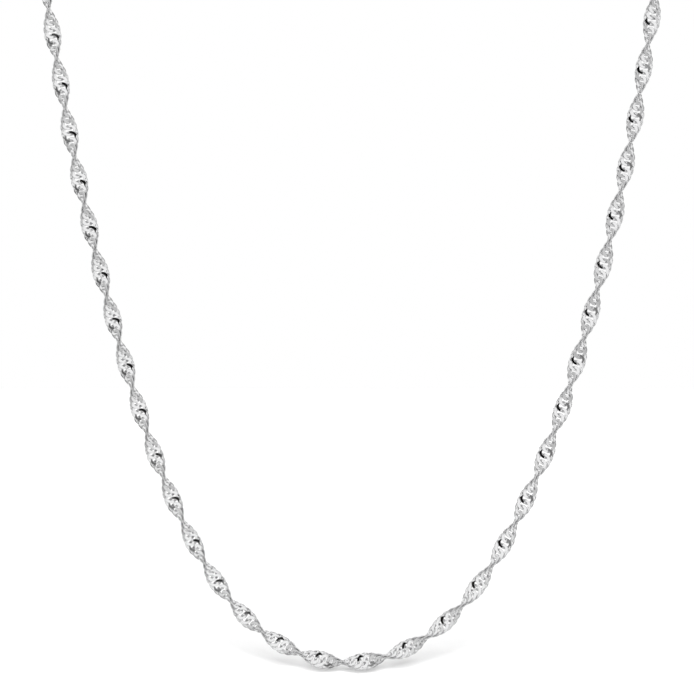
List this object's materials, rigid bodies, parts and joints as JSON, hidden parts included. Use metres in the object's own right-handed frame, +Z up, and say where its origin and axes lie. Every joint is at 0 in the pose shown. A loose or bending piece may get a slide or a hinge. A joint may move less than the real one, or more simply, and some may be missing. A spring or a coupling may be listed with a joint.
{
  "type": "twisted curb chain necklace",
  "caption": "Slim silver necklace of interlinked curb links turned into a steady twist, a closed loop with a ring clasp at the nape.",
  "frame": {"origin": "middle of the nape, on the centreline of the loop where it rests on the back of the neck", "axes": "+Z up, +X to the right as the front is seen, the front of the necklace hangs towards -Y"},
  "size_m": [0.106, 0.0737, 0.1487],
  "materials": {
    "chain_silver": "bright white silver, links pressed and cut flat, dark in the gaps between them",
    "clasp_silver": "polished white silver wire with fine wear"
  },
  "bodies": {
    "root": {"chain_left": "chain_silver", "chain_right": "chain_silver", "clasp": "clasp_silver", "end_ring_left": "clasp_silver", "end_ring_right": "clasp_silver"}
  },
  "joints": []
}
